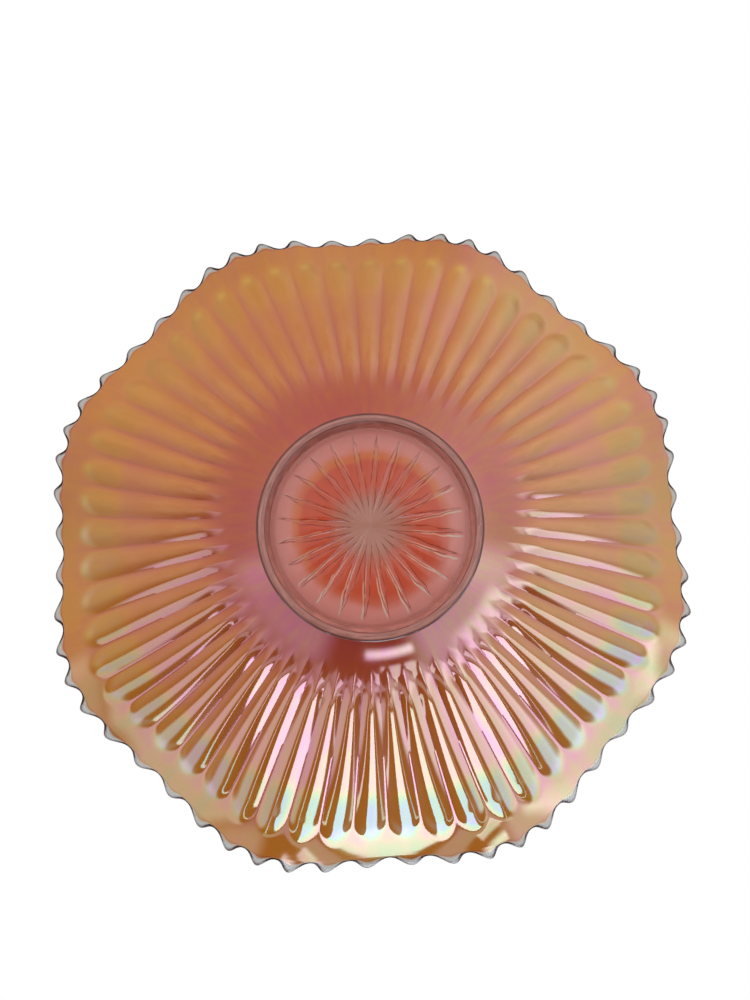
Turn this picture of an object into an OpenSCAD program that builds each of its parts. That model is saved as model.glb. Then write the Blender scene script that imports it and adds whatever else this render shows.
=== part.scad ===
// Ruffled carnival glass bowl with a saw-tooth rim, a collar foot and a star base.
// The bowl stands on its foot: the table is z = 0 and +Z points up out of the bowl.
// The glass is one pressing. It is drawn as four regions that meet face to face.

/* [Bowl] */
// Radius of the tooth tips, averaged round the rim
rim_r = 114.4; // [104:0.4:124]
// Height of the tooth roots above the table, averaged round the rim
rim_h = 48.4; // [42:0.2:60]
// Glass thickness of the wall beside the foot
wall_foot = 4.0; // [3.2:0.1:4.6]
// Glass thickness of the wall at the teeth
wall_rim = 3.0; // [2.2:0.1:3.6]
// Slope of both ends of the wall, as a part of its average slope
wall_flare = 0.62; // [0.4:0.02:1]

/* [Ruffle] */
// Number of ruffles round the rim
lobes = 8; // [6:1:10]
// How far a ruffle stands out at the tooth roots
ruffle_out = 1.4; // [0:0.1:3]
// How far a ruffle drops at the tooth roots
ruffle_drop = 3.1; // [0:0.1:5]
// Place up the wall where the ruffle starts, from 0 at the foot to 1 at the teeth
ruffle_start = 0.3; // [0.1:0.05:0.6]
// Direction of the first ruffle, from +X towards +Y
ruffle_turn = 19; // [0:1:45]

/* [Teeth] */
// Number of teeth on each ruffle, with one rib below each tooth
teeth_per_lobe = 7; // [5:1:8]
// Height of a tooth from root to tip
tooth_h = 4; // [2:0.1:5]
// Height of the clear band below the tooth roots
clear_band = 1; // [0.6:0.1:2]
// Crowding of the tooth roots towards the middle of a ruffle, in degrees
root_crowd = 0.8; // [0:0.1:1.2]
// Crowding of the tooth tips towards the middle of a ruffle, in degrees
tip_crowd = 1.4; // [0:0.1:1.8]

/* [Ribs] */
// How far a rib stands out of the underside
rib_h = 1.2; // [0.4:0.1:1.6]
// Smooth band between the foot and the ribs
rib_in_gap = 8; // [4:1:16]
// Smooth band between the ribs and the tooth roots
rib_out_gap = 7; // [4:1:16]

/* [Foot] */
// Radius of the collar foot
foot_r = 33.2; // [31:0.2:36]
// Height of the collar outside
foot_h = 5; // [4:0.2:7]
// Depth of the recess under the base
recess = 3; // [2:0.2:4]
// Width of the face that rests on the table
rest_w = 1.8; // [1.2:0.1:2.4]

/* [Star] */
// Number of rays in the star
rays = 24; // [16:1:28]
// Gap between the ray tips and the foot ring
ray_gap = 1.8; // [0.8:0.2:5]
// Place along the rays where neighbours meet, as a part of their length
ray_meet = 0.36; // [0.3:0.02:0.8]
// Depth of the star at its middle
star_depth = 1.5; // [0.8:0.1:2]
// Direction of the first ray, from +X towards +Y
ray_turn = 4; // [0:0.1:15]

/* [Hidden] */

// Round bodies are drawn with this many sides
round_fn = 128;
// Columns of facets for each tooth
tooth_cols = 6;
teeth = lobes * teeth_per_lobe;
cols = teeth * tooth_cols;

// The foot and the base
foot_edge = 0.8;
wall_r = foot_r - 0.2;
rest_out_r = foot_r - foot_edge;
rest_in_r = rest_out_r - rest_w;
base_r = rest_in_r - 1.2;
ray_r = base_r - ray_gap;
floor_h = foot_h + wall_foot;
floor_sag = 0.8;

// The wall, from its joint with the foot to the clear band
root_r = rim_r - tooth_h;
band_t = 1 - clear_band / (root_r - wall_r);
wall_rise = rim_h - foot_h;
// Places up the wall where the outside and the inside have a row of points
outer_rows = [0, 0.1, 0.17, 0.3, 0.46, 0.62, 0.79, 0.86, 0.92, band_t];
inner_rows = [band_t, 0.88, 0.7, 0.5, 0.3, 0.12, 0];
// Where the ribs start and end, and the length over which they rise at each end
rib_in_r = foot_r + rib_in_gap;
rib_out_r = root_r - rib_out_gap + 1;
rib_in_run = 12;
rib_out_run = 9;
// How far the sides of a rib fall behind its crest at each end, which rounds the ends
rib_in_round = 2;
rib_out_round = 4;

// Smooth step from 0 to 1
function ease(x) = let(c = max(0, min(1, x))) c * c * (3 - 2 * c);

// Radius, height and slope of the underside, before the ruffle
function wall_rad(t) = wall_r + (root_r - wall_r) * t;
function wall_z(t) = foot_h + wall_rise * (t > 1
    ? 1 + wall_flare * (t - 1)
    : wall_flare * t + (1 - wall_flare) * (3 * t * t - 2 * t * t * t));
function wall_steep(t) = t > 1 ? wall_flare : wall_flare + (1 - wall_flare) * 6 * t * (1 - t);
function wall_slope(t) = atan2(wall_rise * wall_steep(t), root_r - wall_r);

// Strength of the ruffle, growing as the square of the way past its start
function ruffle(t) = pow(max(0, (t - ruffle_start) / (1 - ruffle_start)), 2);

// Height of the rib under a point: a round crest, a crease between neighbours and rounded ends
function rib(a, t) =
    let(
        across = abs(cos(a * teeth / 2)),
        side = sqrt(max(0, 1 - across * across)),
        starts = ease((wall_rad(t) - rib_in_r - rib_in_round * side) / rib_in_run),
        ends = ease((rib_out_r - rib_out_round * (1 - across) - wall_rad(t)) / rib_out_run)
    )
    rib_h * across * starts * ends;

// A point of the glass: a is its angle before crowding, t its place up the wall,
// lift its height off the underside and crowd the pull towards the ruffle's middle
function glass_point(a, t, lift, crowd) =
    let(
        turned = a - crowd * sin(lobes * a),
        wave = ruffle(t) * cos(lobes * turned),
        lean = wall_slope(t) * ease(t * 8),
        r = wall_rad(t) - lift * sin(lean) + ruffle_out * wave,
        z = wall_z(t) + lift * cos(lean) - ruffle_drop * wave,
        dir = turned + ruffle_turn
    )
    [r * cos(dir), r * sin(dir), z];

// Faces of a closed loop of rows, each row a closed ring of points. The diagonal
// of each square runs one way in the wall and the other way in the rim, so that
// both have the same triangles where they meet
function loop_faces(rows, other) = [
    for (i = [0:rows - 1], j = [0:cols - 1])
        let(
            i2 = (i + 1) % rows,
            j2 = (j + 1) % cols,
            a = i * cols + j,
            b = i2 * cols + j,
            c = i2 * cols + j2,
            d = i * cols + j2
        )
        each other ? [[a, b, d], [b, c, d]] : [[a, b, c], [a, c, d]]
];

function col_angle(j) = 360 * j / cols;
function wall_thick(t) = wall_foot + (wall_rim - wall_foot) * min(1, t);

// Collar foot: a clear ring with a flat resting face, eased edges and a slanting inside
module foot_ring() {
    color([0.86, 0.72, 0.68])
        rotate_extrude($fn = round_fn)
            polygon([
                [rest_in_r, 0],
                [rest_out_r, 0],
                [foot_r - 0.2, 0.25],
                [foot_r, foot_edge],
                [wall_r, foot_h],
                [wall_r, floor_h],
                [base_r, floor_h - floor_sag],
                [base_r, recess],
                [rest_in_r - 0.8, recess / 2]
            ]);
}

// Cutter for the star: a pyramid on a pointed star, which gives each ray two flat
// sides that meet in a groove. It goes on below the face of the glass
module star_cutter() {
    below = 0.3;
    grow = (star_depth + below) / star_depth;
    corners = [
        for (i = [0:2 * rays - 1])
            let(r = grow * (i % 2 == 0 ? ray_r : ray_r * ray_meet), dir = ray_turn + 180 * i / rays)
            [r * cos(dir), r * sin(dir), -below]
    ];
    last = len(corners);
    polyhedron(
        points = concat(corners, [[0, 0, star_depth], [0, 0, -below]]),
        faces = [
            for (i = [0:last - 1])
                let(next = (i + 1) % last)
                each [[i, last, next], [next, last + 1, i]]
        ]
    );
}

// Base of the bowl: a clear disc, sunk a little inside, with the star cut under it
module star_base() {
    color([0.80, 0.36, 0.28])
        difference() {
            rotate_extrude($fn = round_fn)
                polygon([
                    [0, recess],
                    [base_r, recess],
                    [base_r, floor_h - floor_sag],
                    [0, floor_h - 2 * floor_sag]
                ]);
            translate([0, 0, recess])
                star_cutter();
        }
}

// Wall: smooth inside, ribbed underneath, flared and ruffled towards the rim
module bowl_wall() {
    outer = [
        for (t = outer_rows, j = [0:cols - 1])
            glass_point(col_angle(j), t, -rib(col_angle(j), t), root_crowd * ruffle(t))
    ];
    inner = [
        for (t = inner_rows, j = [0:cols - 1])
            glass_point(col_angle(j), t, wall_thick(t), root_crowd * ruffle(t))
    ];
    color([0.80, 0.46, 0.27])
        polyhedron(
            points = concat(outer, inner),
            faces = loop_faces(len(outer_rows) + len(inner_rows), false)
        );
}

// Rim: a clear band cut into round-topped teeth with a rounded edge
module tooth_rim() {
    // Rows round the edge: way from the band to the tip, and height in the glass
    rows = [[0, 0], [0.6, 0.02], [0.93, 0.2], [1, 0.5], [0.93, 0.8], [0.6, 0.98], [0, 1]];
    band_crowd = root_crowd * ruffle(band_t);
    points = [
        for (row = rows, j = [0:cols - 1])
            let(
                a = col_angle(j),
                tooth = tooth_h / (root_r - wall_r) * (0.5 + 0.5 * cos(a * teeth)),
                t = band_t + row[0] * (1 + tooth - band_t),
                far = row[0] * (t - band_t) * (root_r - wall_r) / (tooth_h + clear_band)
            )
            glass_point(a, t, row[1] * wall_thick(t), band_crowd + (tip_crowd - band_crowd) * far)
    ];
    color([0.82, 0.85, 0.82])
        polyhedron(points = points, faces = loop_faces(len(rows), true));
}

foot_ring();
star_base();
bowl_wall();
tooth_rim();
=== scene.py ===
"""Ruffled carnival glass bowl: its ribbed wall, clear toothed rim, collar foot and star base."""

import math

import bpy
import numpy as np
from bpy.props import FloatProperty, FloatVectorProperty, IntProperty, PointerProperty
from mathutils import Matrix, Vector


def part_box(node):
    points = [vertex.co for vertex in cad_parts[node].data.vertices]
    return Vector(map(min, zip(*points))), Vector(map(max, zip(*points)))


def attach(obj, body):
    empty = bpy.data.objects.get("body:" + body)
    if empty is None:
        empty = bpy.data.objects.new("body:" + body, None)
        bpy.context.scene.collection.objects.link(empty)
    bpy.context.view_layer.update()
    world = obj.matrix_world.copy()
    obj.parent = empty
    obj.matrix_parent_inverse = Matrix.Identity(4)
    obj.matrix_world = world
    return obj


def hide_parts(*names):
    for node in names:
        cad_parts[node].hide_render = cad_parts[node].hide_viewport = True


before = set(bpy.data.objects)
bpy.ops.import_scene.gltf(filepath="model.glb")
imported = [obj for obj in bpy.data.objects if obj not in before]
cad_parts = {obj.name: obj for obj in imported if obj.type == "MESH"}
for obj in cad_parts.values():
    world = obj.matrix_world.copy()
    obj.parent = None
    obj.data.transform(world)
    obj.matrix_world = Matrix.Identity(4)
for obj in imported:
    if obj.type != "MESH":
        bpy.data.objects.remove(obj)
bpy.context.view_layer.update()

bl_info = {
    "name": "Ruffled Carnival Glass Bowl",
    "version": (1, 0, 0),
    "blender": (4, 5, 0),
    "location": "3D View > Sidebar > Glass Bowl",
    "description": "Models a ruffled, ribbed bowl of iridescent pressed glass round its packed frame",
    "category": "Object",
}

BODY = "root"
MM = 0.001
FOOT_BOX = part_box("foot_ring")
STAR_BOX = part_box("star_base")

# Columns of vertices round the wall and the rim, for each tooth
TOOTH_COLUMNS = 16
# Columns of vertices round the foot and the floor
ROUND_COLUMNS = 192
# Rows of vertices up the outside and down the inside of the wall
OUTER_ROWS, INNER_ROWS = 64, 20

# How the edges of the foot are cut back and eased
FOOT_EDGE = 0.8 * MM
FOOT_TAPER = 0.2 * MM
FOOT_EASE = 0.25 * MM
# Lengths over which a rib rises and sinks, and how far its sides fall behind its crest there
RIB_IN_RUN, RIB_IN_ROUND = 12 * MM, 2 * MM
RIB_OUT_RUN, RIB_OUT_ROUND = 9 * MM, 4 * MM
# Where the colour of a rib's nose starts, and where the painted highlight near its end is
NOSE_START, NOSE_RUN = 80 * MM, 9 * MM
GLINT_PLACE, GLINT_SIZE = 99.5 * MM, 1.8 * MM
# Where the rim's edge starts to round, as a part of the way out, and the width of its painted dark
# outline
ROUND_START = 0.62
OUTLINE_WIDTH, OUTLINE_FADE = 1.85 * MM, 0.50 * MM
# The star cutter starts this far below the face of the glass
STAR_BELOW = 0.3 * MM

# Refraction of the glass, of the fired-on film and of the gloss over it
GLASS_IOR, FILM_IOR, GLOSS_IOR = 1.5, 1.88, 1.72
# Thickness of the film in nanometres round the foot and by the teeth
FILM_FOOT, FILM_TEETH = 402.0, 420.0
# What changes it: the smooth band at the front and at the back, the creases between the ribs, the
# noses of the ribs and their tips, and the clouds and streaks all over
FILM_BAND_FRONT, FILM_BAND_BACK = -26.0, -2.0
FILM_CREASE, FILM_NOSE, FILM_NOSE_TIP = 19.0, -62.0, -24.0
FILM_CLOUD, FILM_STREAK = 10.0, 14.0

# Tint of the star's glass between the rays, and painted shade along their grooves
LAND_TINT, GROOVE_SHADE = (0.94, 0.56, 0.38), (0.25, 0.018, 0.008)
# The lustre behind the star, from its middle outwards, and the glints on the rays
FLOOR_HEART, FLOOR_RED, FLOOR_PINK = (0.66, 0.27, 0.18), (0.80, 0.13, 0.055), (1.0, 0.34, 0.28)
FLOOR_GOLD_FRONT, FLOOR_GOLD_BACK = (0.84, 0.17, 0.08), (0.90, 0.27, 0.05)
FLOOR_OUTSIDE, RAY_GLINT = (1.0, 0.44, 0.37), (1.0, 0.80, 0.66)
# Painted light at the roots of the teeth: a dark line of painted shade, a light line of painted
# highlight, and the painted shade of the outline
ROOT_SHADE, ROOT_HIGHLIGHT, OUTLINE_SHADE = (0.60, 0.10, 0.025), (1.0, 0.62, 0.42), (0.20, 0.10, 0.075)
# Painted lines on the foot: painted shade at its outer edge, a painted highlight line inside that and
# painted shade at the inner edge of the resting face
FOOT_OUTLINE_SHADE, FOOT_HIGHLIGHT, FOOT_INNER_SHADE = (0.16, 0.03, 0.02), (1.0, 0.62, 0.52), (0.30, 0.06, 0.045)

# Panes that the glass mirrors. Each has its left and right side in radians from the front, its low
# and high end as parts of straight up, its brightness, and the width of its soft edge
WINDOWS = (
    (-0.33, 0.08, -0.31, 0.45, 3.3, 0.02),
    (-0.36, -0.07, -0.56, -0.44, 2.0, 0.03),
    (-1.25, -0.62, -0.60, 0.45, 1.9, 0.14),
    (-0.46, -0.42, -0.40, 0.45, 1.6, 0.015),
    (0.36, 0.42, -0.35, 0.40, 2.0, 0.015),
    (0.52, 1.05, -0.50, 0.40, 1.0, 0.12),
    (-0.40, 0.06, -0.685, -0.575, 3.2, 0.055),
    (-0.60, 0.45, -0.50, -0.33, 0.6, 0.04),
    (-1.60, -0.25, -0.98, -0.25, 1.15, 0.30),
    (0.25, 1.50, -0.95, -0.35, 0.65, 0.25),
)
# Colour of the light from the windows
WINDOW_LIGHT = (0.88, 1.0, 1.22)


class BowlSizes(bpy.types.PropertyGroup):
    """Sizes of the pressing"""

    rim_radius: FloatProperty(
        name="Rim radius", description="Radius of the tooth tips, averaged round the rim",
        default=114.4 * MM, unit="LENGTH")
    root_height: FloatProperty(
        name="Root height", description="Height of the tooth roots, averaged round the rim",
        default=48.4 * MM, unit="LENGTH")
    wall_at_foot: FloatProperty(
        name="Wall at foot", description="Glass thickness beside the foot",
        default=4 * MM, unit="LENGTH")
    wall_at_rim: FloatProperty(
        name="Wall at rim", description="Glass thickness at the teeth",
        default=3 * MM, unit="LENGTH")
    flare: FloatProperty(
        name="Flare", description="Slope of both ends of the wall, as a part of its average slope",
        default=0.62)
    lobes: IntProperty(name="Ruffles", description="Number of ruffles round the rim", default=8)
    ruffle_out: FloatProperty(
        name="Ruffle out", description="How far a ruffle stands out at the tooth roots",
        default=1.4 * MM, unit="LENGTH")
    ruffle_drop: FloatProperty(
        name="Ruffle drop", description="How far a ruffle drops at the tooth roots",
        default=3.1 * MM, unit="LENGTH")
    ruffle_start: FloatProperty(
        name="Ruffle start", description="Place up the wall where the ruffle starts", default=0.3)
    ruffle_turn: FloatProperty(
        name="Ruffle turn", description="Direction of the first ruffle",
        default=math.radians(19), subtype="ANGLE")
    teeth_per_lobe: IntProperty(
        name="Teeth on a ruffle", description="Number of teeth, and of ribs, on each ruffle", default=7)
    tooth_height: FloatProperty(
        name="Tooth height", description="Height of a tooth from root to tip",
        default=4 * MM, unit="LENGTH")
    clear_band: FloatProperty(
        name="Clear band", description="Height of the clear glass below the tooth roots",
        default=1 * MM, unit="LENGTH")
    root_crowd: FloatProperty(
        name="Root crowding", description="Pull of the tooth roots towards a ruffle's middle",
        default=math.radians(0.8), subtype="ANGLE")
    tip_crowd: FloatProperty(
        name="Tip crowding", description="Pull of the tooth tips towards a ruffle's middle",
        default=math.radians(1.4), subtype="ANGLE")
    rib_height: FloatProperty(
        name="Rib height", description="How far a rib stands out of the underside",
        default=1.2 * MM, unit="LENGTH")
    rib_in_gap: FloatProperty(
        name="Rib to foot", description="Smooth band between the foot and the ribs",
        default=8 * MM, unit="LENGTH")
    rib_out_gap: FloatProperty(
        name="Rib to teeth", description="Smooth band between the ribs and the tooth roots",
        default=7 * MM, unit="LENGTH")
    foot_radius: FloatProperty(
        name="Foot radius", description="Radius of the collar foot",
        default=FOOT_BOX[1].x, unit="LENGTH")
    foot_height: FloatProperty(
        name="Foot height", description="Height of the collar outside", default=5 * MM, unit="LENGTH")
    rest_width: FloatProperty(
        name="Resting width", description="Width of the face that rests on the table",
        default=1.8 * MM, unit="LENGTH")
    base_radius: FloatProperty(
        name="Base radius", description="Radius of the base inside the foot ring",
        default=STAR_BOX[1].x, unit="LENGTH")
    recess: FloatProperty(
        name="Recess", description="Depth of the recess under the base",
        default=STAR_BOX[0].z, unit="LENGTH")
    floor_height: FloatProperty(
        name="Floor height", description="Height of the bowl's floor over the foot",
        default=FOOT_BOX[1].z, unit="LENGTH")
    floor_sag: FloatProperty(
        name="Floor sag", description="How far the floor sinks over the ring, and again to its middle",
        default=0.8 * MM, unit="LENGTH")
    rays: IntProperty(name="Rays", description="Number of rays in the star", default=24)
    ray_gap: FloatProperty(
        name="Ray gap", description="Gap between the ray tips and the foot ring",
        default=1.8 * MM, unit="LENGTH")
    ray_meet: FloatProperty(
        name="Ray meet", description="Place along the rays where neighbours meet", default=0.36)
    star_depth: FloatProperty(
        name="Star depth", description="Depth of the star at its middle",
        default=1.5 * MM, unit="LENGTH")
    ray_turn: FloatProperty(
        name="Ray turn", description="Direction of the first ray",
        default=math.radians(4), subtype="ANGLE")


class BowlColours(bpy.types.PropertyGroup):
    """Colours of the glass and its lustre"""

    heart: FloatVectorProperty(
        name="Heart", description="Body colour round the foot",
        default=(0.72, 0.085, 0.030), subtype="COLOR", size=3)
    middle: FloatVectorProperty(
        name="Middle", description="Body colour half way up the wall",
        default=(0.84, 0.185, 0.016), subtype="COLOR", size=3)
    edge: FloatVectorProperty(
        name="Edge", description="Body colour by the teeth",
        default=(0.90, 0.27, 0.020), subtype="COLOR", size=3)
    crest: FloatVectorProperty(
        name="Crest", description="Body colour along the crests of the ribs",
        default=(0.92, 0.31, 0.020), subtype="COLOR", size=3)
    # The spots are painted highlights: light focused through the rounded ends of the ribs
    painted_glint: FloatVectorProperty(
        name="Spot", description="Body colour of the bright spots at the ends of the ribs",
        default=(1.0, 0.42, 0.02), subtype="COLOR", size=3)
    # The foot's colour is a painted glow: the pink stands for the lustre seen through the clear foot
    foot: FloatVectorProperty(
        name="Foot", description="Tint of the foot's glass, which glows with the lustre round it",
        default=(0.95, 0.40, 0.33), subtype="COLOR", size=3)
    clear: FloatVectorProperty(
        name="Clear", description="Tint of the clear glass",
        default=(0.94, 0.96, 0.94), subtype="COLOR", size=3)


def smooth_step(x):
    """0 below 0, 1 above 1 and smooth between."""
    c = np.clip(x, 0, 1)
    return c * c * (3 - 2 * c)


class WallShape:
    """The pressing's surface, from an angle, a place up the wall and a height in the glass."""

    def __init__(self, sizes):
        self.s = sizes
        self.teeth = sizes.lobes * sizes.teeth_per_lobe
        self.foot = sizes.foot_radius - FOOT_TAPER
        self.root = sizes.rim_radius - sizes.tooth_height
        self.run = self.root - self.foot
        self.rise = sizes.root_height - sizes.foot_height
        self.band = 1 - sizes.clear_band / self.run

    def radius(self, t):
        return self.foot + self.run * t

    def height(self, t):
        flare = self.s.flare
        inside = flare * t + (1 - flare) * (3 * t**2 - 2 * t**3)
        return self.s.foot_height + self.rise * np.where(t > 1, 1 + flare * (t - 1), inside)

    def slope(self, t):
        flare = self.s.flare
        steep = np.where(t > 1, flare, flare + (1 - flare) * 6 * t * (1 - t))
        return np.arctan2(self.rise * steep, self.run)

    def ruffle(self, t):
        return np.maximum(0, (t - self.s.ruffle_start) / (1 - self.s.ruffle_start)) ** 2

    def thickness(self, t):
        return self.s.wall_at_foot + (self.s.wall_at_rim - self.s.wall_at_foot) * np.minimum(1, t)

    def rib(self, a, t):
        """Height of the rib: a round crest, a crease between neighbours and rounded ends."""
        r = self.radius(t)
        across = np.abs(np.cos(a * self.teeth / 2))
        side = np.sqrt(np.maximum(0, 1 - across**2))
        first = self.s.foot_radius + self.s.rib_in_gap + RIB_IN_ROUND * side
        last = self.root - self.s.rib_out_gap + 1 * MM - RIB_OUT_ROUND * (1 - across)
        starts = smooth_step((r - first) / RIB_IN_RUN)
        ends = smooth_step((last - r) / RIB_OUT_RUN)
        return self.s.rib_height * across * starts * ends, starts * ends

    def place(self, a, t, lift, crowd):
        """Points of the glass, with their angles pulled by crowd towards the middle of a ruffle."""
        lobes = self.s.lobes
        turned = a - crowd * np.sin(lobes * a)
        wave = self.ruffle(t) * np.cos(lobes * turned)
        lean = self.slope(t) * smooth_step(t * 8)
        r = self.radius(t) - lift * np.sin(lean) + self.s.ruffle_out * wave
        z = self.height(t) + lift * np.cos(lean) - self.s.ruffle_drop * wave
        direction = turned + self.s.ruffle_turn
        return np.stack([r * np.cos(direction), r * np.sin(direction), z], axis=1)


# ---------------------------------------------------------------- modelling helpers


def start_piece():
    """Leaves edit mode and clears the selection, so that the next operator meets only its own piece."""
    if bpy.context.object and bpy.context.object.mode != "OBJECT":
        bpy.ops.object.mode_set(mode="OBJECT")
    bpy.ops.object.select_all(action="DESELECT")


def coordinates(piece):
    """The piece's vertices as an array of rows."""
    flat = np.empty(len(piece.data.vertices) * 3)
    piece.data.vertices.foreach_get("co", flat)
    return flat.reshape(-1, 3)


def move_vertices(piece, places):
    """Puts the piece's vertices at the given places."""
    piece.data.vertices.foreach_set("co", np.ascontiguousarray(places, dtype=np.float32).ravel())
    piece.data.update()


def keep_values(piece, name, values):
    """Stores a value for each vertex, for the materials to read."""
    layer = piece.data.attributes.new(name, "FLOAT", "POINT")
    layer.data.foreach_set("value", np.ascontiguousarray(values, dtype=np.float32))


def spun(name, section, columns):
    """A ring spun about Z from a closed section, which is a list of (radius, height)."""
    start_piece()
    bpy.ops.mesh.primitive_circle_add(vertices=len(section), radius=0.01, fill_type="NOTHING")
    piece = bpy.context.object
    piece.name = piece.data.name = name
    move_vertices(piece, [(r, 0, z) for r, z in section])
    bpy.ops.object.mode_set(mode="EDIT")
    bpy.ops.mesh.select_all(action="SELECT")
    bpy.ops.mesh.spin(steps=columns, angle=math.tau, center=(0, 0, 0), axis=(0, 0, 1))
    bpy.ops.mesh.select_all(action="SELECT")
    bpy.ops.mesh.remove_doubles(threshold=1e-7)
    bpy.ops.mesh.normals_make_consistent(inside=False)
    bpy.ops.object.mode_set(mode="OBJECT")
    bpy.ops.object.shade_smooth()
    return piece


def face_outwards(piece):
    """Recalculates the piece's normals after its vertices have moved."""
    start_piece()
    bpy.context.view_layer.objects.active = piece
    piece.select_set(True)
    bpy.ops.object.mode_set(mode="EDIT")
    bpy.ops.mesh.select_all(action="SELECT")
    bpy.ops.mesh.normals_make_consistent(inside=False)
    bpy.ops.object.mode_set(mode="OBJECT")


def apply_modifier(piece, kind, **values):
    """Adds a modifier with the given values and applies it."""
    start_piece()
    bpy.context.view_layer.objects.active = piece
    piece.select_set(True)
    modifier = piece.modifiers.new(kind.title(), kind)
    for key, value in values.items():
        setattr(modifier, key, value)
    bpy.ops.object.modifier_apply(modifier=modifier.name)


def finish_piece(piece, material, slot, *nodes):
    """Gives the piece its material and its place in the frame."""
    piece.data.materials.clear()
    piece.data.materials.append(material)
    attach(piece, BODY)
    if nodes:
        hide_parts(*nodes)


# ---------------------------------------------------------------- shader helpers


class Tree:
    """Adds nodes to a node tree and links them."""

    def __init__(self, tree):
        self.tree = tree

    def put(self, socket, value):
        """Links a node's output into a socket, or sets the socket's own value."""
        if isinstance(value, bpy.types.NodeSocket):
            self.tree.links.new(value, socket)
        elif isinstance(value, (tuple, list)) and len(value) == 3 and socket.type == "RGBA":
            socket.default_value = (*value, 1)
        else:
            socket.default_value = value

    def add(self, kind, settings=None, **inputs):
        """A node of a kind, with its settings and its inputs by name."""
        node = self.tree.nodes.new(kind)
        for key, value in (settings or {}).items():
            setattr(node, key, value)
        for key, value in inputs.items():
            self.put(node.inputs[key.replace("_", " ")], value)
        return node

    def math(self, operation, a, b=None, c=None, clamp=False):
        """The result of a Math node."""
        node = self.tree.nodes.new("ShaderNodeMath")
        node.operation = operation
        node.use_clamp = clamp
        for socket, value in zip(node.inputs, (a, b, c)):
            if value is not None:
                self.put(socket, value)
        return node.outputs[0]

    def span(self, value, low, high, to_low=0.0, to_high=1.0, smooth=True):
        """The value mapped from one span to another and held inside it."""
        node = self.tree.nodes.new("ShaderNodeMapRange")
        node.interpolation_type = "SMOOTHSTEP" if smooth else "LINEAR"
        for key, v in (("Value", value), ("From Min", low), ("From Max", high),
                       ("To Min", to_low), ("To Max", to_high)):
            self.put(node.inputs[key], v)
        return node.outputs["Result"]

    def product(self, *values):
        """Several values multiplied together."""
        result = values[0]
        for value in values[1:]:
            result = self.math("MULTIPLY", result, value)
        return result

    def mix(self, factor, a, b, blend="MIX"):
        """Two colours mixed by a factor."""
        node = self.tree.nodes.new("ShaderNodeMix")
        node.data_type = "RGBA"
        node.blend_type = blend
        self.put(node.inputs[0], factor)
        self.put(node.inputs[6], a)
        self.put(node.inputs[7], b)
        return node.outputs[2]

    def noise(self, vector, scale, detail=2.0, roughness=0.5, distortion=0.0):
        """A noise pattern as a value."""
        node = self.add("ShaderNodeTexNoise")
        for key, v in (("Vector", vector), ("Scale", scale), ("Detail", detail),
                       ("Roughness", roughness), ("Distortion", distortion)):
            self.put(node.inputs[key], v)
        return node.outputs["Fac"]


def grey(tree, value):
    """A value as a grey colour."""
    node = tree.add("ShaderNodeCombineColor")
    for socket in node.inputs:
        tree.put(socket, value)
    return node.outputs[0]


def new_material(name):
    """An empty material, its tree and its Principled shader."""
    material = bpy.data.materials.new(name)
    material.use_nodes = True
    tree = Tree(material.node_tree)
    return material, tree, material.node_tree.nodes["Principled BSDF"]


def place_and_radius(tree):
    """Object coordinates, and the distance from the bowl's axis."""
    place = tree.add("ShaderNodeTexCoord").outputs["Object"]
    parts = tree.add("ShaderNodeSeparateXYZ")
    tree.put(parts.inputs[0], place)
    x, y, z = parts.outputs
    square = tree.math("ADD", tree.math("MULTIPLY", x, x), tree.math("MULTIPLY", y, y))
    radius = tree.math("SQRT", square)
    return place, x, y, z, radius


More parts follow.
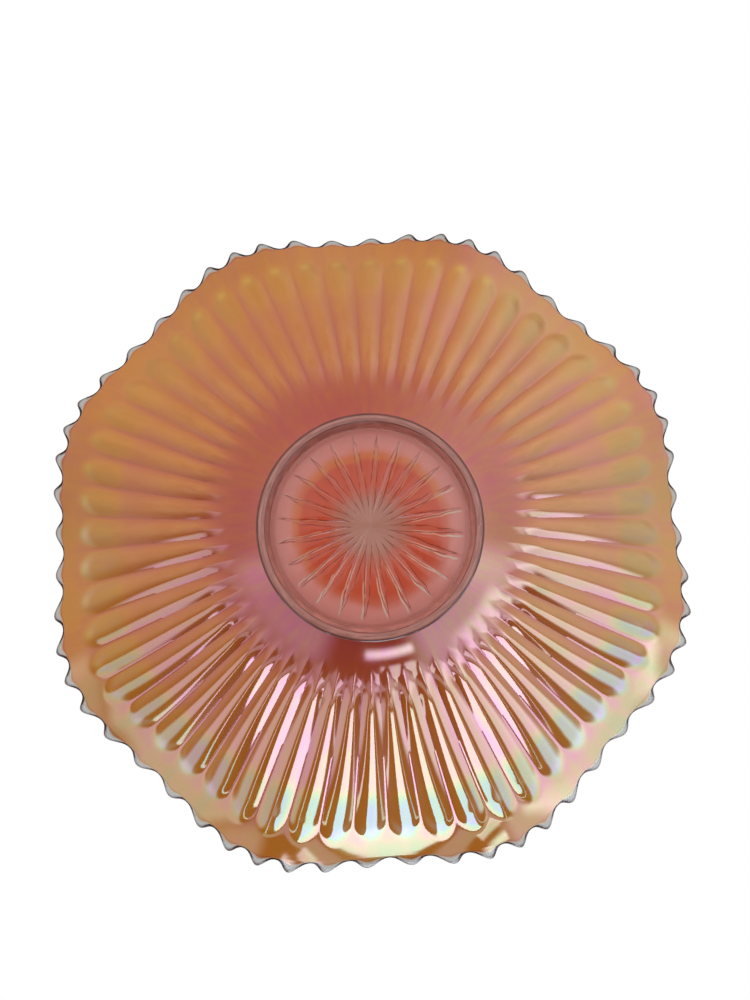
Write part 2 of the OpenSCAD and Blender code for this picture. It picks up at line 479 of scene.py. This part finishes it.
def lustre(tree, shader, colours):
    """Sets a shader to orange glass under a fired-on film that turns pink, cream and green by turns,
    with a painted highlight near the end of each rib.
    """
    place, _, y, _, radius = place_and_radius(tree)
    cloud = tree.noise(place, 22, 3, 0.55)
    drift = tree.noise(place, 9, 2, 0.5)
    uneven = tree.math("ADD", radius, tree.span(drift, 0.3, 0.7, -4 * MM, 4 * MM, False))
    along = tree.add("ShaderNodeVectorMath", {"operation": "NORMALIZE"})
    tree.put(along.inputs[0], place)
    spread = tree.add("ShaderNodeVectorMath", {"operation": "SCALE"}, Scale=9.0)
    tree.put(spread.inputs[0], along.outputs[0])
    streak = tree.noise(spread.outputs[0], 2.2, 3, 0.55)
    body = tree.mix(tree.span(uneven, 36 * MM, 66 * MM), tuple(colours.heart), tuple(colours.middle))
    body = tree.mix(tree.span(uneven, 66 * MM, 104 * MM), body, tuple(colours.edge))
    crest = tree.add("ShaderNodeAttribute", {"attribute_name": "crest"}).outputs["Fac"]
    nose = tree.add("ShaderNodeAttribute", {"attribute_name": "nose"}).outputs["Fac"]
    crease = tree.add("ShaderNodeAttribute", {"attribute_name": "crease"}).outputs["Fac"]
    painted_glint = tree.add("ShaderNodeAttribute", {"attribute_name": "painted_glint"}).outputs["Fac"]
    crest = tree.math("MULTIPLY", crest, tree.span(streak, 0.35, 0.65, 0.15, 0.85))
    body = tree.mix(crest, body, tuple(colours.crest))
    # Painted highlight: a bright spot near the end of each rib
    painted_glint = tree.math("MULTIPLY", painted_glint, tree.span(drift, 0.42, 0.60, 0.15, 1.0))
    body = tree.mix(painted_glint, body, tuple(colours.painted_glint))
    tree.put(shader.inputs["Base Color"], body)
    tree.put(shader.inputs["Roughness"], tree.span(cloud, 0.35, 0.7, 0.05, 0.11))
    shader.inputs["IOR"].default_value = GLASS_IOR
    film = tree.span(uneven, 34 * MM, 84 * MM, FILM_FOOT, FILM_TEETH, False)
    band = tree.span(y, -60 * MM, 70 * MM, FILM_BAND_FRONT, FILM_BAND_BACK)
    band = tree.math("MULTIPLY", tree.span(radius, 100 * MM, 106 * MM), band)
    film = tree.math("ADD", film, band)
    film = tree.math("MULTIPLY_ADD", crease, FILM_CREASE, film)
    nose = tree.math("MULTIPLY", nose, tree.span(y, -70 * MM, 70 * MM, 1.0, 0.30))
    film = tree.math("MULTIPLY_ADD", nose, FILM_NOSE, film)
    tip = tree.math("MULTIPLY", nose, tree.span(radius, 96 * MM, 102 * MM))
    film = tree.math("MULTIPLY_ADD", tip, FILM_NOSE_TIP, film)
    film = tree.math("ADD", film, tree.span(cloud, 0.3, 0.7, -FILM_CLOUD, FILM_CLOUD, False))
    film = tree.math("ADD", film, tree.span(streak, 0.3, 0.7, -FILM_STREAK, FILM_STREAK, False))
    tree.put(shader.inputs["Thin Film Thickness"], film)
    shader.inputs["Thin Film IOR"].default_value = FILM_IOR
    shader.inputs["Coat Weight"].default_value = 1.0
    shader.inputs["Coat IOR"].default_value = GLOSS_IOR
    shader.inputs["Coat Roughness"].default_value = 0.03


def lustre_material(name, colours):
    """The lustre as a material of its own."""
    material, tree, shader = new_material(name)
    lustre(tree, shader, colours)
    return material


def star_edges(tree, place, x, y, radius, rays, ray_turn):
    """How far a point lies outside the rays (below 0 inside one), and the side of the ray it is on."""
    wobble = tree.span(tree.noise(place, 160, 2, 0.5), 0.3, 0.7, -0.022, 0.022, False)
    turn = tree.math("ADD", tree.math("SUBTRACT", tree.math("ARCTAN2", y, x), ray_turn), wobble)
    turn = tree.math("MULTIPLY", turn, rays / math.pi)
    between = tree.math("PINGPONG", turn, 1.0)
    width = tree.span(radius, 5 * MM, 12 * MM, 1.05, 0.55, False)
    width = tree.math("SUBTRACT", width, tree.span(radius, 12 * MM, 27 * MM, 0.0, 0.55, False))
    return tree.math("SUBTRACT", between, width), tree.math("WRAP", turn, 1.0, -1.0)


def base_material(colours, rays, ray_turn):
    """Clear glass that looks red between the rays of the star, with painted shade along their grooves.
    """
    material = clear_glass("clear_base_glass", tuple(colours.clear), 0.04)
    tree = Tree(material.node_tree)
    shader = material.node_tree.nodes["Principled BSDF"]
    place, x, y, _, radius = place_and_radius(tree)
    edge, _ = star_edges(tree, place, x, y, radius, rays, ray_turn)
    land = tree.product(tree.span(edge, -0.05, 0.08), tree.span(radius, 20 * MM, 24 * MM, 1.0, 0.0))
    tint = tree.mix(land, tuple(colours.clear), LAND_TINT)
    # Painted shade: dark lines along the edges of the grooves, broken by noise
    broken = tree.noise(place, 260, 2, 0.6)
    half = tree.span(radius, 6 * MM, 26 * MM, 0.20, 0.08, False)
    shaded_groove = tree.product(
        tree.span(tree.math("ABSOLUTE", edge), 0.0, half, 1.0, 0.0),
        tree.span(broken, 0.36, 0.56, 0.25, 1.0),
        tree.span(radius, 3 * MM, 6 * MM),
        tree.span(radius, 26 * MM, 28 * MM, 1.0, 0.0))
    tree.put(shader.inputs["Base Color"], tree.mix(shaded_groove, tint, GROOVE_SHADE))
    return material


def floor_material(colours, rays, ray_turn):
    """The lustre on the floor, seen through the clear base: grey-pink, a red ring, then pink."""
    material, tree, shader = new_material("floor_lustre")
    lustre(tree, shader, colours)
    place, x, y, _, radius = place_and_radius(tree)
    wander = tree.span(tree.noise(place, 60, 3, 0.6), 0.3, 0.7, -1.5 * MM, 1.5 * MM, False)
    uneven = tree.math("ADD", radius, wander)
    drift = tree.noise(place, 40, 2, 0.5)
    ring = tree.mix(tree.span(uneven, 6 * MM, 15 * MM), FLOOR_HEART, FLOOR_RED)
    drift = tree.span(drift, 0.35, 0.65, -14 * MM, 14 * MM)
    fringe = tree.span(tree.math("ADD", y, drift), -8 * MM, 16 * MM)
    gold = tree.mix(fringe, FLOOR_GOLD_FRONT, FLOOR_GOLD_BACK)
    ring = tree.mix(tree.span(uneven, 20 * MM, 22 * MM), ring, gold)
    ring = tree.mix(tree.span(uneven, 22 * MM, 25 * MM), ring, FLOOR_PINK)
    edge, side = star_edges(tree, place, x, y, radius, rays, ray_turn)
    lit = tree.math("ADD", tree.math("MULTIPLY", x, -0.5), tree.math("MULTIPLY", y, -1.0))
    glint = tree.product(
        tree.span(edge, 0.02, 0.10), tree.span(edge, 0.14, 0.24, 1.0, 0.0),
        tree.span(side, -0.02, 0.02),
        tree.span(radius, 10 * MM, 15 * MM), tree.span(radius, 26.5 * MM, 28 * MM, 1.0, 0.0),
        tree.span(lit, -18 * MM, 14 * MM, 0.25, 1.0))
    ring = tree.mix(glint, ring, RAY_GLINT)
    body = tree.mix(tree.span(radius, 27.5 * MM, 30 * MM), ring, FLOOR_OUTSIDE)
    tree.put(shader.inputs["Base Color"], body)
    film = shader.inputs["Thin Film Thickness"]
    tree.tree.links.remove(film.links[0])
    film.default_value = 0
    shader.inputs["Coat Weight"].default_value = 0
    return material


def rim_material(colours):
    """Clear glass at the edge of the teeth, with the lustre run out over their faces."""
    material = clear_glass("clear_rim_glass", tuple(colours.clear), 0.02)
    tree = Tree(material.node_tree)
    glass = material.node_tree.nodes["Principled BSDF"]
    coat = tree.add("ShaderNodeBsdfPrincipled")
    lustre(tree, coat, colours)
    body = coat.inputs["Base Color"].links[0].from_socket
    place = tree.add("ShaderNodeTexCoord").outputs["Object"]
    way = tree.add("ShaderNodeAttribute", {"attribute_name": "way_out"}).outputs["Fac"]
    last = tree.add("ShaderNodeAttribute", {"attribute_name": "edge"}).outputs["Fac"]
    # Painted shade: the clear glass darkens towards its outline
    tree.put(glass.inputs["Base Color"], tree.mix(last, tuple(colours.clear), OUTLINE_SHADE))
    way = tree.math("ADD", way, tree.span(tree.noise(place, 120, 2), 0.3, 0.7, -0.06, 0.06, False))
    # Where the lustre ends at the tooth roots: a band of painted shade, then a painted highlight line
    body = tree.mix(tree.math("MULTIPLY", tree.span(way, 0.10, 0.24), 0.6), body, ROOT_SHADE)
    body = tree.mix(tree.math("MULTIPLY", tree.span(way, 0.28, 0.36), 0.8), body, ROOT_HIGHLIGHT)
    tree.put(coat.inputs["Base Color"], body)
    blend = tree.add("ShaderNodeMixShader")
    tree.put(blend.inputs[0], tree.span(way, 0.38, 0.44))
    tree.put(blend.inputs[1], coat.outputs[0])
    tree.put(blend.inputs[2], glass.outputs[0])
    tree.put(material.node_tree.nodes["Material Output"].inputs["Surface"], blend.outputs[0])
    return material


def foot_material(colours, sizes):
    """Clear glass with a painted pink glow for the lustre seen through it, painted light and dark lines,
    and a painted dark outline at its outer edge.
    """
    material = clear_glass("clear_foot_glass", tuple(colours.foot), 0.05, 0.25)
    tree = Tree(material.node_tree)
    shader = material.node_tree.nodes["Principled BSDF"]
    _, x, y, z, radius = place_and_radius(tree)
    turned = tree.add("ShaderNodeCombineXYZ")
    tree.put(turned.inputs[0], tree.math("MULTIPLY", tree.math("ARCTAN2", y, x), 5.0))
    tree.put(turned.inputs[1], tree.math("MULTIPLY", radius, 1200.0))
    # Short concentric streaks, lighter and darker: painted glints on the foot's glass
    arcs = tree.noise(turned.outputs[0], 1.0, 3, 0.6)
    shade = tuple(c * 0.72 for c in colours.foot)
    body = tree.mix(tree.span(arcs, 0.35, 0.65, 0.0, 1.0), shade, tuple(colours.foot))
    low = tree.span(z, 0.8 * MM, 1.0 * MM, 1.0, 0.0)
    # Painted shade: a dark outline at the outer edge of the resting face
    edge = sizes.foot_radius - 0.9 * MM
    rim = tree.product(low, tree.span(radius, edge, edge + 0.3 * MM), 0.75)
    body = tree.mix(rim, body, FOOT_OUTLINE_SHADE)

    def line(place, half, *streaks):
        """A thin painted line on the resting face, broken by the streaks."""
        rise, fall = tree.span(radius, place - half, place), tree.span(radius, place, place + half, 1, 0)
        return tree.product(rise, fall, low, tree.span(arcs, *streaks))

    # A painted highlight line inside the outer edge, and painted shade at the inner edge of the resting
    # face
    light = line(sizes.foot_radius - 1.3 * MM, 0.2 * MM, 0.4, 0.6, 0.1, 0.9)
    body = tree.mix(light, body, FOOT_HIGHLIGHT)
    dark = line(sizes.foot_radius - FOOT_EDGE - sizes.rest_width, 0.3 * MM, 0.35, 0.6, 0.3, 0.9)
    body = tree.mix(dark, body, FOOT_INNER_SHADE)
    tree.put(shader.inputs["Base Color"], body)
    return material


def clear_glass(name, tint, roughness, clearness=1.0):
    """Clear pressed glass with a slightly uneven face."""
    material, tree, shader = new_material(name)
    place = tree.add("ShaderNodeTexCoord").outputs["Object"]
    ripple = tree.noise(place, 180, 2, 0.5)
    bump = tree.add("ShaderNodeBump", Strength=0.1, Distance=0.0005)
    tree.put(bump.inputs["Height"], ripple)
    shader.inputs["Base Color"].default_value = (*tint, 1)
    tree.put(shader.inputs["Roughness"], tree.span(ripple, 0.3, 0.7, roughness * 0.5, roughness))
    shader.inputs["Transmission Weight"].default_value = clearness
    shader.inputs["IOR"].default_value = GLASS_IOR
    tree.put(shader.inputs["Normal"], bump.outputs[0])
    return material


# ---------------------------------------------------------------- pieces


class GLASSBOWL_OT_wall(bpy.types.Operator):
    """Model the flared, ruffled wall with its pressed ribs"""

    bl_idname = "glassbowl.wall"
    bl_label = "Ribbed Wall"

    def execute(self, context):
        sizes = context.scene.bowl_sizes
        shape = WallShape(sizes)
        # The section holds the place up the wall as a radius and the side as a height
        section = [(1 + t, 0) for t in np.linspace(0, shape.band, OUTER_ROWS)]
        section += [(1 + t, 1) for t in np.linspace(shape.band, 0, INNER_ROWS)]
        wall = spun("ribbed_wall", section, shape.teeth * TOOTH_COLUMNS)
        flat = coordinates(wall)
        a = np.arctan2(flat[:, 1], flat[:, 0])
        t = np.hypot(flat[:, 0], flat[:, 1]) - 1
        inside = flat[:, 2] > 0.5
        rib, ends = shape.rib(a, t)
        lift = np.where(inside, shape.thickness(t), -rib)
        crest = np.where(inside, 0, rib / sizes.rib_height)
        r = shape.radius(t)
        keep_values(wall, "crest", crest)
        keep_values(wall, "nose", smooth_step((r - NOSE_START) / NOSE_RUN) * np.clip(crest * 1.8, 0, 1))
        across = np.abs(np.cos(a * shape.teeth / 2))
        # Painted highlight: a bright spot near the end of each rib's crest
        painted_glint = np.exp(-((r - GLINT_PLACE) / GLINT_SIZE) ** 2) * np.clip((across - 0.8) / 0.2, 0, 1)
        keep_values(wall, "crease", np.where(inside, 0, ends * (1 - across)))
        keep_values(wall, "painted_glint", np.where(inside, 0, painted_glint))
        move_vertices(wall, shape.place(a, t, lift, sizes.root_crowd * shape.ruffle(t)))
        face_outwards(wall)
        bpy.ops.object.shade_smooth_by_angle(angle=math.radians(50))
        finish_piece(wall, bpy.data.materials["marigold_lustre"], "lustre_glass", "bowl_wall")
        return {"FINISHED"}


class GLASSBOWL_OT_rim(bpy.types.Operator):
    """Model the clear band of round-topped teeth"""

    bl_idname = "glassbowl.rim"
    bl_label = "Toothed Rim"

    def execute(self, context):
        sizes = context.scene.bowl_sizes
        shape = WallShape(sizes)
        # The section goes out along the underside, round the edge and back along the inside
        out = [(1 + 0.2 * k, 0.0) for k in range(4)]
        turn = np.linspace(-math.pi / 2, math.pi / 2, 11)
        round_run = 1 - ROUND_START
        edge = [(1 + ROUND_START + round_run * math.cos(q), 0.5 + 0.5 * math.sin(q)) for q in turn]
        back = [(r, 1.0) for r, _ in reversed(out)]
        rim = spun("toothed_rim", out + edge + back, shape.teeth * TOOTH_COLUMNS)
        flat = coordinates(rim)
        a = np.arctan2(flat[:, 1], flat[:, 0])
        way = np.hypot(flat[:, 0], flat[:, 1]) - 1
        tooth = sizes.tooth_height / shape.run * (0.5 + 0.5 * np.cos(a * shape.teeth)) ** 1.15
        t = shape.band + way * (1 + tooth - shape.band)
        far = (t - shape.band) * shape.run / (sizes.tooth_height + sizes.clear_band)
        band_crowd = sizes.root_crowd * shape.ruffle(shape.band)
        crowd = band_crowd + (sizes.tip_crowd - band_crowd) * far
        # The outline, painted shade of the glass's edge, is as wide in the dips as on the teeth, and
        # lies low on the round edge
        inwards = (1 - way) * (tooth * shape.run + sizes.clear_band)
        lower = 1 - 0.9 * smooth_step((flat[:, 2] - 0.20) / 0.18)
        keep_values(rim, "edge", smooth_step((OUTLINE_WIDTH - inwards) / OUTLINE_FADE) * lower)
        # The lustre stops sooner on the inside and in the dips
        keep_values(rim, "way_out", way + 0.16 * (flat[:, 2] > 0.5) + 0.15 * (1 - tooth / tooth.max()))
        move_vertices(rim, shape.place(a, t, flat[:, 2] * shape.thickness(t), crowd))
        face_outwards(rim)
        bpy.ops.object.shade_smooth_by_angle(angle=math.radians(50))
        finish_piece(rim, bpy.data.materials["clear_rim_glass"], "rim_glass", "tooth_rim")
        return {"FINISHED"}


class GLASSBOWL_OT_foot(bpy.types.Operator):
    """Model the clear collar foot"""

    bl_idname = "glassbowl.foot"
    bl_label = "Collar Foot"

    def execute(self, context):
        s = context.scene.bowl_sizes
        rest_out = s.foot_radius - FOOT_EDGE
        rest_in = rest_out - s.rest_width
        wall_r = s.foot_radius - FOOT_TAPER
        section = [
            (rest_in, 0), (rest_out, 0), (wall_r, FOOT_EASE), (s.foot_radius, FOOT_EDGE),
            (wall_r, s.foot_height), (wall_r, s.floor_height),
            (s.base_radius, s.floor_height - s.floor_sag), (s.base_radius, s.recess),
            (rest_in - 0.8 * MM, s.recess / 2),
        ]
        foot = spun("collar_foot", section, ROUND_COLUMNS)
        apply_modifier(foot, "BEVEL", width=0.3 * MM, segments=3, limit_method="ANGLE",
                       angle_limit=math.radians(20))
        bpy.ops.object.shade_smooth_by_angle(angle=math.radians(30))
        finish_piece(foot, bpy.data.materials["clear_foot_glass"], "foot_glass", "foot_ring")
        return {"FINISHED"}


class GLASSBOWL_OT_star(bpy.types.Operator):
    """Model the base with the star pressed into its underside"""

    bl_idname = "glassbowl.star"
    bl_label = "Star Base"

    def execute(self, context):
        s = context.scene.bowl_sizes
        section = [(0, s.recess), (s.base_radius, s.recess),
                   (s.base_radius, s.floor_height - s.floor_sag), (0, s.floor_height - 2 * s.floor_sag)]
        base = spun("star_base_glass", section, ROUND_COLUMNS)
        ray_radius = s.base_radius - s.ray_gap
        depth = s.star_depth + STAR_BELOW
        start_piece()
        bpy.ops.mesh.primitive_cone_add(
            vertices=2 * s.rays, radius1=ray_radius * depth / s.star_depth, radius2=0, depth=depth,
            location=(0, 0, s.recess + (s.star_depth - STAR_BELOW) / 2))
        cutter = bpy.context.object
        bpy.ops.object.transform_apply(location=True, rotation=True, scale=True)
        places = coordinates(cutter)
        angles = np.arctan2(places[:, 1], places[:, 0])
        turn = np.round(angles / (math.pi / s.rays)).astype(int)
        rim = np.hypot(places[:, 0], places[:, 1]) > 1e-6
        short = rim & (turn % 2 == 1)
        places[short, :2] *= s.ray_meet
        c, n = math.cos(s.ray_turn), math.sin(s.ray_turn)
        places[:, :2] = places[:, :2] @ np.array([[c, n], [-n, c]])
        move_vertices(cutter, places)
        apply_modifier(base, "BOOLEAN", operation="DIFFERENCE", object=cutter, solver="EXACT")
        bpy.data.objects.remove(cutter)
        apply_modifier(base, "BEVEL", width=0.12 * MM, segments=2, limit_method="ANGLE",
                       angle_limit=math.radians(6))
        bpy.ops.object.shade_smooth_by_angle(angle=math.radians(30))
        finish_piece(base, bpy.data.materials["clear_base_glass"], "base_glass", "star_base")
        return {"FINISHED"}


class GLASSBOWL_OT_floor(bpy.types.Operator):
    """Model the lustre on the bowl's floor, over the foot and the base"""

    bl_idname = "glassbowl.floor"
    bl_label = "Floor Lustre"

    def execute(self, context):
        s = context.scene.bowl_sizes
        low, high = -0.06 * MM, 0.03 * MM
        tops = [
            (0, s.floor_height - 2 * s.floor_sag),
            (s.base_radius / 2, s.floor_height - 1.5 * s.floor_sag),
            (s.base_radius, s.floor_height - s.floor_sag),
            (s.foot_radius - FOOT_TAPER, s.floor_height),
        ]
        section = [(r, z + low) for r, z in tops] + [(r, z + high) for r, z in reversed(tops)]
        floor = spun("floor_lustre", section, ROUND_COLUMNS)
        finish_piece(floor, bpy.data.materials["floor_lustre"], "lustre_glass")
        # The side that faces up, inside the bowl, carries the same lustre as the wall
        floor.data.materials.append(bpy.data.materials["marigold_lustre"])
        for face in floor.data.polygons:
            face.material_index = 1 if face.normal.z > 0.5 else 0
        return {"FINISHED"}


class GLASSBOWL_OT_materials(bpy.types.Operator):
    """Make the lustre and the clear glasses"""

    bl_idname = "glassbowl.materials"
    bl_label = "Glass and Lustre"

    def execute(self, context):
        colours = context.scene.bowl_colours
        lustre_material("marigold_lustre", colours)
        sizes = context.scene.bowl_sizes
        floor_material(colours, sizes.rays, sizes.ray_turn)
        rim_material(colours)
        foot_material(colours, sizes)
        base_material(colours, sizes.rays, sizes.ray_turn)
        return {"FINISHED"}


# ---------------------------------------------------------------- stage


def camera_matrix():
    """Where the camera stands: close under the bowl, a little to the front, looking up at its foot."""
    tilt, swing, distance = math.radians(-8.0), math.radians(0.37), 0.2657
    aim = Vector((-0.2 * MM, -22.8 * MM, 0))
    rim_level = 49.5 * MM
    turn = (Matrix.Rotation(swing, 3, "Y") @ Matrix.Rotation(tilt, 3, "X")).transposed()
    eye = turn @ (Vector((0, 0, distance)) - aim)
    # The bowl stands upright, so the view of its underside is turned half way round Y
    flip = Matrix(((-1, 0, 0), (0, 1, 0), (0, 0, -1)))
    matrix = (flip @ turn).to_4x4()
    matrix.translation = flip @ eye + Vector((0, 0, rim_level))
    return matrix


class GLASSBOWL_OT_stage(bpy.types.Operator):
    """Make the floor, the lights and the camera"""

    bl_idname = "glassbowl.stage"
    bl_label = "Stage"

    def execute(self, context):
        scene = context.scene
        scene.view_settings.view_transform = "Standard"
        camera_data = bpy.data.cameras.new("camera")
        camera = bpy.data.objects.new("camera", camera_data)
        scene.collection.objects.link(camera)
        camera_data.lens = 27
        camera_data.sensor_width = 36
        camera_data.shift_x = 0.005
        camera_data.shift_y = -0.03
        camera_data.clip_start = 0.01
        camera.matrix_world = camera_matrix()
        scene.camera = camera

        start_piece()
        bpy.ops.mesh.primitive_circle_add(
            vertices=96, radius=1.5, fill_type="TRIFAN", location=(0, 0, -0.02 * MM))
        floor = bpy.context.object
        floor.name = "floor"
        material, tree, shader = new_material("pale_floor")
        shader.inputs["Base Color"].default_value = (0.86, 0.86, 0.86, 1)
        shader.inputs["Roughness"].default_value = 0.8
        # Seen from below, the floor lets the view through
        see_through = tree.add("ShaderNodeBsdfTransparent")
        back = tree.add("ShaderNodeNewGeometry").outputs["Backfacing"]
        blend = tree.add("ShaderNodeMixShader")
        tree.put(blend.inputs[0], back)
        tree.put(blend.inputs[1], shader.outputs[0])
        tree.put(blend.inputs[2], see_through.outputs[0])
        output = material.node_tree.nodes["Material Output"]
        tree.put(output.inputs["Surface"], blend.outputs[0])
        floor.data.materials.append(material)
        floor.visible_glossy = False
        floor.visible_diffuse = False
        floor.visible_transmission = False

        world = bpy.data.worlds.new("studio")
        scene.world = world
        world.use_nodes = True
        sky = Tree(world.node_tree)
        background = world.node_tree.nodes["Background"]
        direction = sky.add("ShaderNodeTexCoord").outputs["Generated"]
        parts = sky.add("ShaderNodeSeparateXYZ")
        sky.put(parts.inputs[0], direction)
        x, y, z = parts.outputs
        # Angle round the horizon from the front, to one side and the other
        side = sky.math("ARCTAN2", x, sky.math("MULTIPLY", y, -1))
        away = sky.math("ABSOLUTE", side)
        # Reflections: a white table above the horizon, a dim ceiling and bright windows in front
        ceiling = sky.span(x, -0.7, 0.7, 0.78, 0.38)
        ceiling = sky.math("MULTIPLY", ceiling, sky.span(away, 0.9, 1.5, 0.10, 1.0))
        ceiling = sky.math("MULTIPLY", ceiling, sky.span(away, 2.3, 3.1, 1.0, 0.65))
        ceiling = sky.math("MULTIPLY", ceiling, sky.span(z, -0.95, -0.5, 1.8, 1.0))
        table = sky.span(y, 0.0, 0.6, 0.7, 0.25)
        level = sky.mix(sky.span(z, -0.05, 0.35), grey(sky, ceiling), grey(sky, table))
        level = sky.mix(sky.span(z, 0.35, 0.8), level, (0.42, 0.42, 0.42))
        shine = None
        for left, right, low, high, bright, edge in WINDOWS:
            pane = sky.product(
                sky.span(side, left, left + edge), sky.span(side, right - edge, right, 1.0, 0.0),
                sky.span(z, low, low + edge), sky.span(z, high - edge, high, bright, 0.0))
            shine = pane if shine is None else sky.math("ADD", shine, pane)
        level = sky.mix(1.0, level, sky.mix(1.0, grey(sky, shine), WINDOW_LIGHT, "MULTIPLY"), "ADD")
        # What clear glass shows: a dim white table above, and light from below
        through = sky.span(z, 0.62, 0.90, 0.0, 0.46)
        through = sky.math("ADD", through, sky.span(z, -0.25, 0.0, 1.3, 0.0))
        path = sky.add("ShaderNodeLightPath")
        # Soft light on dull faces, stronger from the back
        soft = sky.product(sky.span(z, -0.3, 0.3, 0.75, 1.0), sky.span(y, -1.0, 1.0, 0.40, 1.55, False))
        level = sky.mix(path.outputs["Is Transmission Ray"], level, grey(sky, through))
        level = sky.mix(path.outputs["Is Diffuse Ray"], level, grey(sky, soft))
        level = sky.mix(path.outputs["Is Camera Ray"], level, (1, 1, 1))
        sky.put(background.inputs["Color"], level)
        return {"FINISHED"}


class GLASSBOWL_PT_panel(bpy.types.Panel):
    """Lists the bowl's sizes, colours and pieces"""

    bl_idname = "GLASSBOWL_PT_panel"
    bl_label = "Glass Bowl"
    bl_space_type = "VIEW_3D"
    bl_region_type = "UI"
    bl_category = "Glass Bowl"

    def draw(self, context):
        for operator in OPERATORS:
            self.layout.operator(operator.bl_idname)
        for group in (context.scene.bowl_sizes, context.scene.bowl_colours):
            for name in group.bl_rna.properties.keys():
                if name not in {"rna_type", "name"}:
                    self.layout.prop(group, name)


OPERATORS = (
    GLASSBOWL_OT_materials, GLASSBOWL_OT_wall, GLASSBOWL_OT_rim, GLASSBOWL_OT_foot,
    GLASSBOWL_OT_star, GLASSBOWL_OT_floor, GLASSBOWL_OT_stage,
)
CLASSES = (BowlSizes, BowlColours, *OPERATORS, GLASSBOWL_PT_panel)


def register():
    """Adds the bowl's tools to Blender."""
    for cls in CLASSES:
        bpy.utils.register_class(cls)
    bpy.types.Scene.bowl_sizes = PointerProperty(type=BowlSizes)
    bpy.types.Scene.bowl_colours = PointerProperty(type=BowlColours)


def unregister():
    """Takes the bowl's tools out of Blender."""
    del bpy.types.Scene.bowl_colours
    del bpy.types.Scene.bowl_sizes
    for cls in reversed(CLASSES):
        bpy.utils.unregister_class(cls)


def main():
    """Builds the whole bowl."""
    register()
    for operator in OPERATORS:
        group, name = operator.bl_idname.split(".")
        getattr(getattr(bpy.ops, group), name)()


if __name__ == "__main__":
    main()
